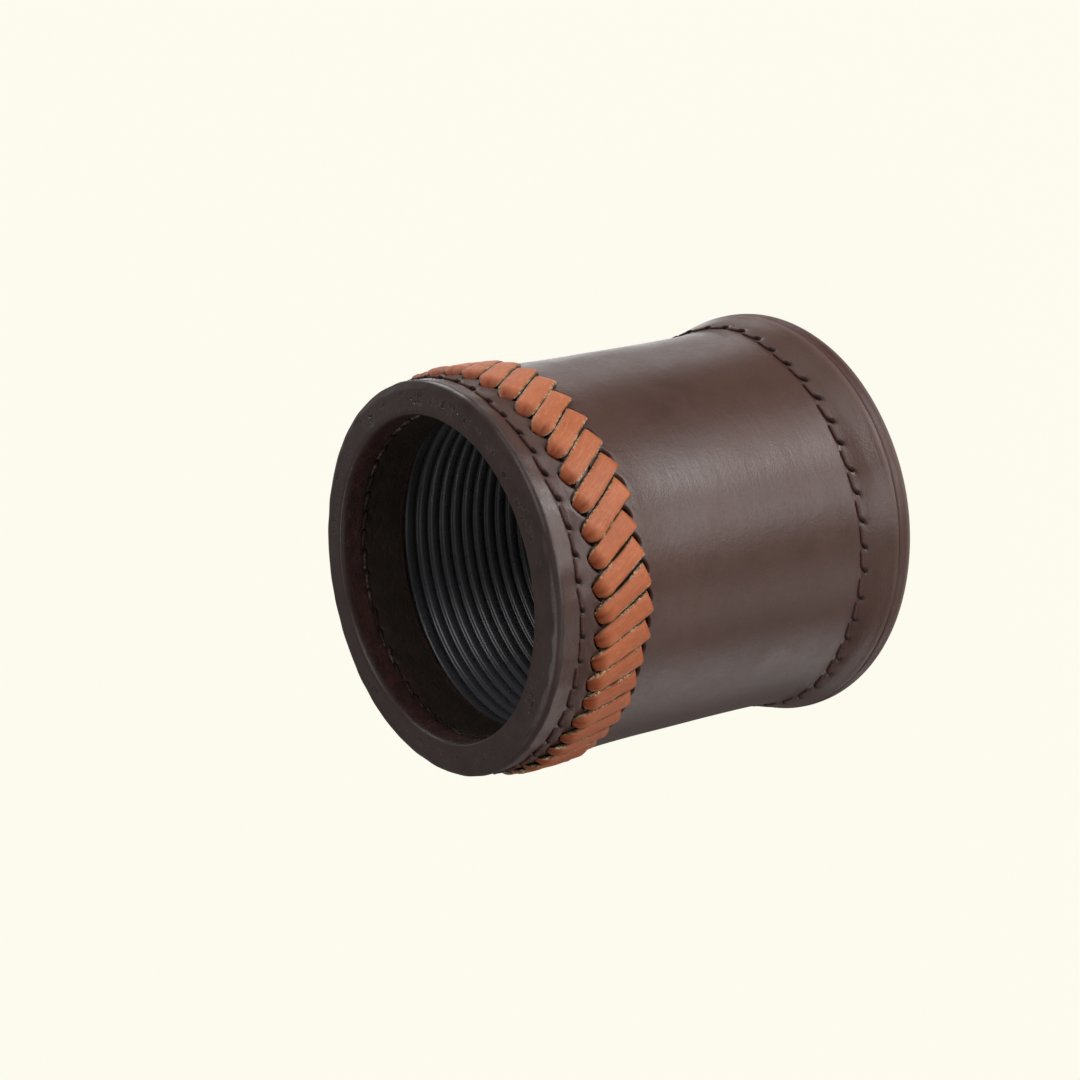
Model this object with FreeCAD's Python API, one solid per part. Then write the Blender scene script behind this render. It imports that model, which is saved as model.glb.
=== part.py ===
"""Leather dice cup, standing on its base with the mouth up.

Frame: millimetres, +Z is the cup's axis and points out of the mouth, and the
origin is the centre of the base's underside. The seams are on the +Y side.

From outside in, the wall is a leather sleeve, a stiff tube and a ribbed rubber
liner. A second piece of leather is folded over the lip, and a flat lace of tan
leather, passed through slits, joins its skirt edge to edge with the sleeve.
"""
import FreeCAD, Part
import math
import os
from FreeCAD import Vector

# Whole cup
height = 103.0
lip_radius = 45.0
mouth_radius = 37.2
rim_radius = 50.4

# Layers of the wall
leather = 1.9
tube_wall = 2.3
liner_wall = 2.2
waist_z = 66.0
sleeve_inner_radius = 43.35         # above the waist
wall_taper = 0.020                  # radius gained per mm below the waist

# Sleeve and folded lip
butt_z = 86.0                       # sleeve and binding meet under the lace
butt_radius = 45.75
seat_z = (79.0, 90.0)               # straight stretch that the lace lies on
stitch_groove = 0.45
mouth_stitch_z = 96.6
base_stitch_z = 13.9
collar_end_z = 85.2
seam_gap = 0.2
seam_end_z = 100.0                  # above this the binding's joint is skived away to nothing

# Base
sole_thickness = 4.4
board_thickness = 3.0
pad_thickness = 2.0
bead_top_z = 16.5
floor_z = sole_thickness + board_thickness + pad_thickness

# Ribs of the liner
rib_pitch = 3.45
rib_height = 0.8
first_rib_z = 78.1
band_z = (80.7, 83.4)               # plain band above the ribs

# Lace
strap_count = 48
strap_width = 4.6
first_strap = -91.7                 # degrees from +X
mean_lean = 9.4                     # degrees round the cup, base end from mouth end
lean_swing = 3.2                    # the lace is pulled more aslant on one side than on the other
lean_turn = 107.0                   # where one gives way to the other, degrees back from +X
lean_change = 3.5                   # how quickly it does
strap_thickness = 1.3
lace_z = (79.6, 92.7)
slit_length = 3.8
slit_width = 1.4
slit_z = (lace_z[0] + 1.0, lace_z[1] - 1.0)
run_depth = 1.1                     # hidden runs, in a recess of the tube

# Thread
thread = 0.45                       # radius
stitch_count = 48
stitch_share = 0.72                 # of the pitch that shows as thread
seam_stitch_z = (22.0, 76.0)
seam_stitch_count = 14

MEAN_COSINE = 0.86                  # of the straps' slopes; it only starts the spacing
AXIS = Vector(0, 0, 1)
ORIGIN = Vector(0, 0, 0)


def tube_outer(z):
    """Outer radius of the stiff tube, which is the sleeve's inner radius."""
    return sleeve_inner_radius + wall_taper * max(0.0, waist_z - z)


def edge_line(points):
    """Straight edges through (radius, z) points, as a list."""
    spots = [Vector(r, 0, z) for r, z in points]
    return [Part.LineSegment(a, b).toShape() for a, b in zip(spots, spots[1:])]


def edge_spline(points):
    """One smooth edge through (radius, z) points."""
    curve = Part.BSplineCurve()
    curve.interpolate([Vector(r, 0, z) for r, z in points])
    return [curve.toShape()]


def edge_arc(start, middle, end):
    """An arc through three (radius, z) points."""
    spots = [Vector(r, 0, z) for r, z in (start, middle, end)]
    return [Part.Arc(*spots).toShape()]


def turned(edges):
    """Solid of revolution of a closed outline about the cup's axis."""
    face = Part.Face(Part.Wire(edges))
    return face.revolve(ORIGIN, AXIS, 360)


def turned_polygon(points):
    """Solid of revolution of a polygon of (radius, z) points."""
    return turned(edge_line(list(points) + [points[0]]))


def seam_slit(z_low, z_high):
    """Thin cutter for the upright joint of the outer leather, on the +Y side."""
    inner = sleeve_inner_radius - 0.2
    corner = Vector(-seam_gap / 2, inner, z_low)
    return Part.makeBox(seam_gap, rim_radius + 1 - inner, z_high - z_low, corner)


# Outer faces of the leather, as (radius, z) outlines from the bottom up

sleeve_outline = [(49.95, sole_thickness), (48.7, 9.2), (47.1, base_stitch_z), (46.65, 19.0),
                  (46.05, 34.0), (45.75, 48.0), (45.4, waist_z), (45.45, 73.0), (butt_radius, seat_z[0])]
skirt_outline = [(butt_radius, seat_z[1]), (45.4, 93.5), (45.1, mouth_stitch_z), (lip_radius, 100.4)]
bead_face = [(46.6, 9.2), (47.9, sole_thickness)]     # where the sleeve leaves the tube, over the bead


def lean_degrees(degrees):
    """How far round a strap's base end is from its mouth end: hand work, so not even."""
    return mean_lean + lean_swing * math.tanh(lean_change * math.sin(math.radians(degrees + lean_turn)))


def lace_angle(degrees):
    """Slope of a strap from the cup's axis, in degrees."""
    across = math.radians(lean_degrees(degrees)) * butt_radius
    return math.degrees(math.atan2(across, lace_z[1] - lace_z[0]))


def strap_places():
    """Angles of the straps' middles, spaced so that leaning straps lie side by side."""
    places = [0.0]
    for _ in range(strap_count):
        turn = first_strap + 360.0 * places[-1] / strap_count
        places.append(places[-1] + MEAN_COSINE / math.cos(math.radians(lace_angle(turn))))
    return [first_strap + 360.0 * place / places[-1] for place in places[:-1]]


def laid(shape, degrees, z, slope):
    """A shape made on the +X side at height zero, leaned about its own middle and put in place."""
    shape.rotate(ORIGIN, Vector(1, 0, 0), slope)
    shape.translate(Vector(0, 0, z))
    shape.rotate(ORIGIN, AXIS, degrees)
    return shape


def box_on_side(inner, outer, width, tall):
    """Box on the +X side from one radius to another, centred on height zero."""
    return Part.makeBox(outer - inner, width, tall, Vector(inner, -width / 2, -tall / 2))


def strap_ends(place):
    """(height, angle) of a strap's base end and mouth end, where its slits are."""
    share = (slit_z[1] - slit_z[0]) / (lace_z[1] - lace_z[0])
    half_lean = lean_degrees(place) / 2 * share
    return (slit_z[0], place + half_lean), (slit_z[1], place - half_lean)


def slit_cutters():
    """Cutters for the slits that the lace goes through, square to both ends of every strap."""
    cutters = []
    for place in strap_places():
        for z, degrees in strap_ends(place):
            box = box_on_side(sleeve_inner_radius - 0.3, butt_radius + leather, slit_length, slit_width)
            cutters.append(laid(box, degrees, z, lace_angle(place)))
    return Part.makeCompound(cutters)


def groove(radius, z):
    """Cutter for the shallow groove that a line of stitches lies in."""
    return Part.makeTorus(radius, stitch_groove, Vector(0, 0, z), AXIS)


def body_sleeve():
    inner = [(sleeve_inner_radius, butt_z), (sleeve_inner_radius, waist_z),
             (tube_outer(bead_top_z), bead_top_z), *bead_face]
    edges = edge_spline(sleeve_outline)
    edges += edge_line([sleeve_outline[-1], (butt_radius, butt_z), *inner, sleeve_outline[0]])
    sleeve = turned(edges)
    sleeve = sleeve.cut(groove(sleeve_outline[2][0], base_stitch_z))
    sleeve = sleeve.cut(slit_cutters())
    return sleeve.cut(seam_slit(sole_thickness - 1, butt_z + 1))


def mouth_binding():
    face_z = height - 0.5
    edges = edge_spline(skirt_outline)
    edges += edge_arc((lip_radius, 100.4), (44.5, 101.85), (43.3, face_z))
    edges += edge_line([(43.3, face_z), (38.6, height)])
    edges += edge_arc((38.6, height), (37.6, 102.6), (mouth_radius, 101.6))
    edges += edge_line([(mouth_radius, 101.6), (mouth_radius, collar_end_z),
                        (mouth_radius + leather, collar_end_z),
                        (mouth_radius + leather, height - leather - 0.2),
                        (sleeve_inner_radius, height - leather - 0.2),
                        (sleeve_inner_radius, butt_z), (butt_radius, butt_z), skirt_outline[0]])
    binding = turned(edges)
    binding = binding.cut(groove(skirt_outline[2][0], mouth_stitch_z))
    binding = binding.cut(groove(mouth_radius, mouth_stitch_z))
    binding = binding.cut(slit_cutters())
    return binding.cut(seam_slit(butt_z - 1, seam_end_z))


def lip_packing():
    inner = mouth_radius + leather
    outer = sleeve_inner_radius - tube_wall
    top = height - leather - 0.2
    return turned_polygon([(inner, collar_end_z), (outer, collar_end_z), (outer, top), (inner, top)])


def wall_tube():
    top = height - leather - 0.2
    recess = sleeve_inner_radius - run_depth
    outer = [(tube_outer(sole_thickness), sole_thickness), (tube_outer(waist_z), waist_z),
             (sleeve_inner_radius, lace_z[0] - 0.5), (recess, lace_z[0] - 0.5),
             (recess, lace_z[1] + 0.5), (sleeve_inner_radius, lace_z[1] + 0.5),
             (sleeve_inner_radius, top)]
    inner = [(sleeve_inner_radius - tube_wall, top), (tube_outer(waist_z) - tube_wall, waist_z),
             (tube_outer(sole_thickness) - tube_wall, sole_thickness)]
    return turned_polygon(outer + inner)


def ribbed_liner():
    back = [(tube_outer(floor_z) - tube_wall, floor_z), (sleeve_inner_radius - tube_wall, waist_z),
            (sleeve_inner_radius - tube_wall, collar_end_z)]

    def valley(z):
        return tube_outer(z) - tube_wall - liner_wall + rib_height

    def rib(z, half):
        slope = 0.35
        return [(valley(z), z + half + slope), (valley(z) - rib_height, z + half),
                (valley(z) - rib_height, z - half), (valley(z), z - half - slope)]

    front = [(valley(collar_end_z), collar_end_z)]
    front += rib(sum(band_z) / 2, (band_z[1] - band_z[0]) / 2 - 0.35)
    rib_total = int((first_rib_z - floor_z) / rib_pitch)
    for i in range(rib_total):
        front += rib(first_rib_z - i * rib_pitch, 0.5)
    front.append((valley(floor_z), floor_z))
    return turned_polygon(back + front)


def lace():
    """The turns of one lace: for each a leaning strap outside, its two legs and the run behind."""
    low, high = lace_z
    back = sleeve_inner_radius - run_depth + 0.1
    outside = turned_polygon([(butt_radius, low), (butt_radius + 0.5, low),
                              (butt_radius + strap_thickness, low + 2.5),
                              (butt_radius + strap_thickness, high - 3.5),
                              (butt_radius + 0.4, high), (butt_radius, high)])
    hidden = turned_polygon([(back, low), (sleeve_inner_radius, low), (sleeve_inner_radius, high),
                             (back, high)])
    middle = (low + high) / 2
    leg_reach = (sleeve_inner_radius + 0.02, butt_radius - 0.06)
    places = strap_places()
    pieces = []
    for place, following in zip(places, places[1:] + [places[0] + 360.0]):
        slope = lace_angle(place)
        blade = box_on_side(butt_radius - 4, butt_radius + 4, strap_width, 40)
        pieces.append(outside.common(laid(blade, place, middle, slope)))
        base_end, mouth_end = strap_ends(place)
        for z, degrees in (base_end, mouth_end):
            leg = box_on_side(*leg_reach, slit_length - 1.0, slit_width - 0.5)
            pieces.append(laid(leg, degrees, z, slope))
        start, finish = base_end[1], strap_ends(following)[1][1]
        across = math.radians(start - finish) * sleeve_inner_radius
        run_slope = math.degrees(math.atan2(across, slit_z[1] - slit_z[0]))
        blade = box_on_side(back - 4, sleeve_inner_radius + 4, slit_length - 0.8, 40)
        pieces.append(hidden.common(laid(blade, (start + finish) / 2, middle, run_slope)))
    return Part.makeCompound(pieces)


def ring_stitches(radius, z):
    """A line of stitches round the cup: short arcs of thread lying in a groove."""
    pitch = 360.0 / stitch_count
    stitches = []
    for i in range(stitch_count):
        stitch = Part.makeTorus(radius, thread * 0.9, ORIGIN, AXIS, 0, 360, pitch * stitch_share)
        stitch.rotate(ORIGIN, AXIS, i * pitch)
        stitch.translate(Vector(0, 0, z))
        stitches.append(stitch)
    return stitches


def mouth_thread():
    outside = ring_stitches(skirt_outline[2][0], mouth_stitch_z)
    inside = ring_stitches(mouth_radius, mouth_stitch_z)
    return Part.makeCompound(outside + inside)


def base_thread():
    return Part.makeCompound(ring_stitches(sleeve_outline[2][0], base_stitch_z))


def seam_thread():
    """Slanted stitches that draw the sleeve's two upright edges together."""
    low, high = seam_stitch_z
    pitch = (high - low) / seam_stitch_count
    half_width = 2.2
    stitches = []
    for i in range(seam_stitch_count):
        z = low + (i + 0.5) * pitch
        radius = 46.75 - 0.026 * (z - low) + thread
        start = Vector(-half_width, radius, z - pitch / 4)
        reach = Vector(2 * half_width, 0, pitch / 2)
        stitches.append(Part.makeCylinder(thread, reach.Length, start, reach))
    return Part.makeCompound(stitches)


def base_bead():
    return turned_polygon([(tube_outer(sole_thickness), sole_thickness), *reversed(bead_face),
                           (tube_outer(bead_top_z), bead_top_z)])


def base_sole():
    edges = edge_line([(0, 0), (48.6, 0)])
    edges += edge_arc((48.6, 0), (49.9, 0.55), (rim_radius, 1.9))
    edges += edge_line([(rim_radius, 1.9), (rim_radius, 2.9)])
    edges += edge_arc((rim_radius, 2.9), (50.05, 3.95), (49.0, sole_thickness))
    edges += edge_line([(49.0, sole_thickness), (0, sole_thickness), (0, 0)])
    return turned(edges)


def base_board():
    radius = tube_outer(sole_thickness + board_thickness) - tube_wall - 0.05
    return Part.makeCylinder(radius, board_thickness, Vector(0, 0, sole_thickness))


def floor_pad():
    radius = tube_outer(floor_z) - tube_wall
    return Part.makeCylinder(radius, pad_thickness, Vector(0, 0, floor_z - pad_thickness))


PIECES = {
    "body_sleeve": body_sleeve,
    "mouth_binding": mouth_binding,
    "lip_packing": lip_packing,
    "wall_tube": wall_tube,
    "ribbed_liner": ribbed_liner,
    "lace": lace,
    "mouth_thread": mouth_thread,
    "base_thread": base_thread,
    "seam_thread": seam_thread,
    "base_bead": base_bead,
    "base_sole": base_sole,
    "base_board": base_board,
    "floor_pad": floor_pad,
}


def main():
    os.makedirs("parts", exist_ok=True)
    for node, make in PIECES.items():
        shape = make()
        shape.exportStep(f"parts/{node}.step")
        print(f"{node:14s} valid={shape.isValid()} solids={len(shape.Solids)} volume={shape.Volume:.1f} mm3")


main()
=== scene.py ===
import bpy
import math
import numpy as np
from mathutils import Matrix, Vector

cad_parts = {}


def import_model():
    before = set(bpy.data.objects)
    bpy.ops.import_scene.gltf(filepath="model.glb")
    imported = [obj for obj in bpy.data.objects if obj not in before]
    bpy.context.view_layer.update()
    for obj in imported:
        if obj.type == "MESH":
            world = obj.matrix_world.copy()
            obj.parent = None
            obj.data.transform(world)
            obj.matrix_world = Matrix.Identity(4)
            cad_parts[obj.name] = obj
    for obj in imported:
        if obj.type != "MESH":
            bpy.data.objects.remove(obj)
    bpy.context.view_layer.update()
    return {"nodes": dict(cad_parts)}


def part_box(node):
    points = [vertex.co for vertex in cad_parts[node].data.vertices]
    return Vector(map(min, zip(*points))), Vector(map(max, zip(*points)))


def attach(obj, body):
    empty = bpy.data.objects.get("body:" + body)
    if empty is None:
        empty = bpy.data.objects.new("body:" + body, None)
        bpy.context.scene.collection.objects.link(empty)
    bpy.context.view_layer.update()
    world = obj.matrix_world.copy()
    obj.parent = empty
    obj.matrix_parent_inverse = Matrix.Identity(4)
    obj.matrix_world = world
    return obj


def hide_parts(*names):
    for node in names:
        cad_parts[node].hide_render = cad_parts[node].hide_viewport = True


# Leather dice cup. Shapes are worked out in millimetres about the cup's axis, +Z out of the mouth,
# and are turned into metres when a mesh is made. The seams are on the +Y side.

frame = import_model()

MM = 0.001


def size(node):
    """Outer radius, lowest z and highest z of a CAD node, in millimetres."""
    low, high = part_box(node)
    return high[0] / MM, low[2] / MM, high[2] / MM


lace_outer, lace_low, lace_high = size("lace")
_, _, sole_top = size("base_sole")
_, collar_end_z, height = size("mouth_binding")
_, pad_low, floor_z = size("floor_pad")
_, _, butt_z = size("body_sleeve")

# Layers of the wall: the binding's skirt meets the sleeve edge to edge at butt_radius, under the lace
leather = 1.9
lace_proud = 1.3
butt_radius = lace_outer - lace_proud
sleeve_inner_radius = 43.35
tube_wall = 2.3
liner_wall = 2.2
waist_z = 66.0
wall_taper = 0.020
mouth_radius = 37.2
bead_top_z = 16.5

rib_pitch = 3.45
rib_height = 1.05
rib_half_width = 1.22
first_rib_z = 78.1
band_z = (80.7, 83.4)

strap_count = 48
strap_gap = 0.17
first_strap = -91.7
lace_drop = 1.7            # how deep the leather goes down at a slit

stitch_count = 48
stitch_share = 0.88        # of the pitch that a stitch fills
stitch_proud = 0.08
stitch_dive = 0.8          # how deep a stitch's ends go into their holes
thread_radius = 0.37
thread_sides = 8
thread_twist = 2.6         # turns of the two plies, in radians for each millimetre
seam_degrees = 90.0
seam_half_width = 0.42
seam_stitches_z = (22.0, 76.0)
seam_stitch_count = 14
seam_stitch_reach = 2.2    # to each side of the seam

# Columns of points round each turned piece
sleeve_columns = 800
binding_columns = 720
liner_columns = 288
floor_columns = 180
sole_columns = 360

# Outer faces of the leather, as (radius, z) points from the bottom up
SLEEVE = [(50.0, sole_top), (48.7, 9.2), (47.0, 14.5), (46.65, 19.0), (46.05, 34.0), (45.75, 48.0),
          (45.4, waist_z), (45.45, 73.0), (butt_radius, 79.0), (butt_radius, 82.0), (butt_radius, butt_z)]
SKIRT = [(butt_radius, butt_z), (butt_radius, 88.0), (butt_radius, 90.0), (45.4, 93.5), (45.05, 97.1),
         (45.0, 100.4)]

# The hand work isn't level: (degrees round the cup, z) of the two outer lines of stitches, of the line
# inside the lip, and of the lace's ends at the base side and at the mouth side
BASE_LINE = ((-160, 12.2), (-150, 12.9), (-140, 13.5), (-130, 13.8), (-120, 13.7), (-110, 13.85),
             (-100, 14.2), (-90, 14.7), (-80, 14.7), (-65, 14.4), (-50, 14.4), (-40, 14.1), (-30, 12.9),
             (-20, 12.0), (30, 13.6), (90, 14.1), (140, 13.4))
MOUTH_LINE = ((-165, 97.2), (-150, 96.4), (-140, 96.25), (-110, 96.1), (-100, 96.7), (-90, 96.35),
              (-80, 96.6), (-72, 97.3), (-60, 97.35), (-50, 97.6), (-40, 97.8), (-25, 97.5), (40, 97.0),
              (100, 96.5), (150, 97.0))
INNER_LINE = ((0, 96.6),)
BASE_ENDS = ((-154, 80.4), (-144, 79.1), (-134, 79.7), (-124, 78.9), (-114, 78.1), (-104, 79.0), (-94, 80.9),
             (-84, 79.5), (-74, 79.9), (-64, 81.1), (-54, 80.5), (-44, 79.5), (-34, 79.5), (-24, 79.3),
             (10, 79.3), (60, 79.9), (110, 79.4), (160, 79.6))
MOUTH_ENDS = ((-154, 93.3), (-144, 92.5), (-134, 91.8), (-124, 92.3), (-114, 91.9), (-94, 92.1), (-74, 92.6),
              (-64, 92.85), (-54, 92.85), (-44, 93.1), (-34, 92.95), (-24, 93.5), (20, 93.3), (80, 92.6),
              (140, 93.0))


# ---------------------------------------------------------------- shapes

def tube_outer(z):
    return sleeve_inner_radius + wall_taper * np.maximum(0.0, waist_z - z)


def curve_through(points, z):
    """Radius at each z of a smooth curve through (radius, z) points."""
    radius, knots = np.array(points).T
    slope = np.gradient(radius, knots)
    i = np.clip(np.searchsorted(knots, z) - 1, 0, len(knots) - 2)
    step = knots[i + 1] - knots[i]
    t = (z - knots[i]) / step
    return ((1 + 2 * t) * (1 - t) ** 2 * radius[i] + t * (1 - t) ** 2 * step * slope[i]
            + t * t * (3 - 2 * t) * radius[i + 1] - t * t * (1 - t) * step * slope[i + 1])


def rows(*stretches):
    """Heights from (start, end, count) stretches that follow one another."""
    parts = [np.linspace(a, b, n, endpoint=False) for a, b, n in stretches]
    return np.append(np.concatenate(parts), stretches[-1][1])


def arc(start, middle, end, count):
    """Points of the round corner from start to end that passes through middle."""
    t = np.linspace(0, 1, count)[:, None]
    control = 2 * np.array(middle) - (np.array(start) + np.array(end)) / 2
    return (1 - t) ** 2 * start + 2 * t * (1 - t) * control + t * t * np.array(end)


def columns(count):
    """Angles round the cup in degrees, starting at the seam."""
    return seam_degrees + np.arange(count) * 360.0 / count


def around(degrees, other):
    """Signed difference of two angles, in degrees."""
    return (degrees - other + 180.0) % 360.0 - 180.0


def bump(distance, width):
    return np.exp(-(distance / width) ** 2)


def uneven(degrees, z, seed, turns=(1, 2, 3, 5), reach=35.0):
    """Smooth unevenness, mostly -1 to 1, of waves that go a whole number of times round the cup."""
    chance = np.random.default_rng(seed)
    total = 0.0
    for n in turns:
        phase, lift = chance.uniform(0, 2 * math.pi, 2)
        wave = np.sin(np.radians(n * degrees) + phase + z / reach * math.cos(lift))
        total = total + wave / len(turns) ** 0.5
    return total


def by_hand(table, degrees):
    """Height at each angle round the cup from a table of (degrees, z)."""
    turn, z = np.array(table, dtype=float).T
    return np.interp(degrees, turn, z, period=360.0)


def grid_faces(row_count, column_count, closed_rows):
    """Quads of a grid whose columns go all the way round."""
    i = np.arange(row_count if closed_rows else row_count - 1)[:, None]
    j = np.arange(column_count)[None, :]
    below, above = i, (i + 1) % row_count
    right = (j + 1) % column_count
    quads = [below * column_count + j, below * column_count + right,
             above * column_count + right, above * column_count + j]
    return np.stack(np.broadcast_arrays(*quads), axis=-1).reshape(-1, 4)


def capped_faces(row_count, column_count):
    """Faces of a grid that is closed by its first and last rows."""
    faces = [list(f) for f in grid_faces(row_count, column_count, False)]
    faces.append(list(range(column_count))[::-1])
    faces.append([(row_count - 1) * column_count + k for k in range(column_count)])
    return faces


def make_object(name, points, faces, material, node, slot, masks=None):
    """Mesh object from points in millimetres, riding with the cup in place of a CAD node."""
    mesh = bpy.data.meshes.new(name)
    mesh.from_pydata((np.asarray(points) * MM).tolist(), [], [list(map(int, f)) for f in faces])
    mesh.validate()
    mesh.polygons.foreach_set("use_smooth", [True] * len(mesh.polygons))
    for key, values in (masks or {}).items():
        mask = mesh.attributes.new(key, "FLOAT", "POINT")
        mask.data.foreach_set("value", np.asarray(values, dtype=np.float32).ravel())
    mesh.materials.append(material)
    piece = bpy.data.objects.new(name, mesh)
    bpy.context.scene.collection.objects.link(piece)
    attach(piece, "root")
    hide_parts(node)


def turned(outline, degrees, push):
    """Grid of points of an outline of (radius, z) rows turned round the axis and pushed outwards."""
    outline = np.asarray(outline, dtype=float)
    along = np.roll(outline, -1, axis=0) - np.roll(outline, 1, axis=0)
    along /= np.maximum(np.linalg.norm(along, axis=1, keepdims=True), 1e-9)
    radius = outline[:, :1] + along[:, 1:] * push
    z = outline[:, 1:] - along[:, :1] * push
    turn = np.radians(degrees)[None, :]
    return np.stack([radius * np.cos(turn), radius * np.sin(turn), z], axis=-1)


def thread_tube(path, radius):
    """Closed tube of thread along a path of points, with the lobes of its two twisted plies."""
    path = np.asarray(path)
    ahead = np.gradient(path, axis=0)
    ahead /= np.linalg.norm(ahead, axis=1, keepdims=True)
    outwards = path * [1, 1, 0]
    outwards /= np.linalg.norm(outwards, axis=1, keepdims=True)
    side = np.cross(ahead, outwards)
    side /= np.linalg.norm(side, axis=1, keepdims=True)
    up = np.cross(side, ahead)
    gone = np.concatenate([[0], np.cumsum(np.linalg.norm(np.diff(path, axis=0), axis=1))])
    angle = np.linspace(0, 2 * math.pi, thread_sides, endpoint=False)
    ply_height = 0.14
    lobes = 1 + ply_height * np.cos(2 * (angle[None, :] - thread_twist * gone[:, None]))
    reach = np.broadcast_to(radius, len(path))[:, None] * lobes
    ring = (path[:, None, :] + (reach * np.cos(angle))[:, :, None] * up[:, None, :]
            + (reach * np.sin(angle))[:, :, None] * side[:, None, :])
    return ring.reshape(-1, 3), capped_faces(len(path), thread_sides)


def joined(parts):
    """One list of points and faces from several."""
    points, faces, start = [], [], 0
    for some, quads in parts:
        points.append(np.asarray(some))
        faces += [[int(k) + start for k in quad] for quad in quads]
        start += len(some)
    return np.concatenate(points), faces


# ---------------------------------------------------------------- the lace's layout

def lean_degrees(degrees):
    """How far a strap leans round the cup between its ends: more on one half than on the other."""
    mean, swing, sharpness, middle = 9.45, 3.2, 3.5, -107.0
    return mean + swing * np.tanh(sharpness * np.sin(np.radians(degrees - middle)))


def lace_slope(degrees):
    """Slope of a strap from the cup's axis, in radians."""
    return np.arctan2(np.radians(lean_degrees(degrees)) * butt_radius, lace_high - lace_low)


def strap_places():
    """Angle of each strap's middle. Straps that lean more take more room round the cup."""
    places = [0.0]
    upright_room = 0.86
    for _ in range(strap_count):
        turn = first_strap + 360.0 * places[-1] / strap_count
        places.append(places[-1] + upright_room / math.cos(lace_slope(turn)))
    return np.array([first_strap + 360.0 * place / places[-1] for place in places[:-1]])


PLACES = strap_places()
layout_chance = np.random.default_rng(7)
BASE_END = by_hand(BASE_ENDS, PLACES) + layout_chance.uniform(-0.15, 0.15, strap_count)
MOUTH_END = by_hand(MOUTH_ENDS, PLACES) + layout_chance.uniform(-0.15, 0.15, strap_count)
SLOPES = lace_slope(PLACES) + layout_chance.uniform(-0.012, 0.012, strap_count)
MIDDLE_Z = (BASE_END + MOUTH_END) / 2
LENGTHS = (MOUTH_END - BASE_END) / np.cos(SLOPES)
TO_NEXT = np.radians(around(np.roll(PLACES, -1), PLACES)) * butt_radius
TO_NEXT *= np.cos((SLOPES + np.roll(SLOPES, -1)) / 2)
WIDTHS = (TO_NEXT + np.roll(TO_NEXT, 1)) / 2 - strap_gap


def strap_frame(i, degrees, z):
    """Distance along strap i from its middle towards the mouth, and across it, in millimetres."""
    over = np.radians(around(degrees, PLACES[i])) * butt_radius
    rise = z - MIDDLE_Z[i]
    slope = SLOPES[i]
    return -over * np.sin(slope) + rise * np.cos(slope), over * np.cos(slope) + rise * np.sin(slope)


# Slits that the lace goes through: middle past the strap's end, half width and half length, shift across
BASE_SLIT = (0.55, 0.95, 2.0, 1.2)
MOUTH_SLIT = (0.10, 0.85, 2.3, -0.5)


def slit_depth(degrees, z, mouth_side):
    """How deep the leather is pressed and cut where the lace goes through, and how much painted shade goes in
    the open cut.
    """
    depth = np.zeros(np.broadcast(degrees, z).shape)
    cut_shade = np.zeros_like(depth)
    centre, half_wide, half_long, sideways = MOUTH_SLIT if mouth_side else BASE_SLIT
    slit_reach_degrees = 16
    for i in range(strap_count):
        near = np.abs(around(degrees, PLACES[i]))[0] < slit_reach_degrees
        along, across = strap_frame(i, degrees[:, near], z)
        beyond = along - LENGTHS[i] / 2 if mouth_side else -along - LENGTHS[i] / 2
        lens = 1 - ((beyond - centre) / half_wide) ** 2 - ((across - sideways) / half_long) ** 2
        swell = 0.06 * bump(beyond - centre - 1.5, 0.7) * bump(across - sideways, 2.2)
        depth[:, near] += lace_drop * np.sqrt(np.clip(lens, 0, 1)) - swell
        cut_shade[:, near] = np.maximum(cut_shade[:, near], np.clip(lens * 3.5, 0, 1))
    return depth, cut_shade


# ---------------------------------------------------------------- the stitches' layout

def stitch_run(i, line, hook, seed):
    """(degrees, z) points of one stitch of a ring line: a dash whose end hooks into its hole."""
    chance = np.random.default_rng(seed * 100 + i)
    pitch = 360.0 / stitch_count
    start = i * pitch + 3.0 + chance.uniform(-0.5, 0.5)
    drift, slant, reach = chance.uniform((-0.16, 0.15, 0.7), (0.16, 0.55, 1.2))
    t = np.linspace(0, 1, 17)
    degrees = start - t * pitch * stitch_share
    end = hook * reach * np.clip((t - 0.62) / 0.38, 0, 1) ** 1.7
    return degrees, by_hand(line, degrees) + drift + slant * (0.45 - t) - end


def stitch_dent(degrees, z, radius, line, hook, seed):
    """How deep the leather is drawn in along a line of stitches, with a hole at the end of each, and painted
    shade in each hole.
    """
    groove_depth, hole_depth, pull_depth, reach = 0.12, 0.32, 0.07, 5
    depth = groove_depth * bump(z - by_hand(line, degrees), 0.55)
    cut_shade = np.zeros(np.broadcast(degrees, z).shape)
    for i in range(stitch_count):
        run_degrees, run_z = stitch_run(i, line, hook, seed)
        over = np.radians(around(degrees, run_degrees[-1])) * radius
        near = np.abs(over)[0] < reach
        part, rise = over[:, near], z - run_z[-1]
        hole = bump(part * 0.75 + rise * 0.66, 0.62) * bump(-part * 0.66 + rise * 0.75, 0.42)
        depth[:, near] += hole_depth * hole + pull_depth * bump(part, 1.4) * bump(rise, 1.2)
        cut_shade[:, near] = np.maximum(cut_shade[:, near], 0.8 * hole)
    return depth, cut_shade


# How far a stitch's end hooks down, in millimetres, and the seed of each line
BASE_HOOK, BASE_SEED = 1.0, 3
MOUTH_HOOK, MOUTH_SEED = 0.40, 4
INNER_SEED = 5


# ---------------------------------------------------------------- materials

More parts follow.
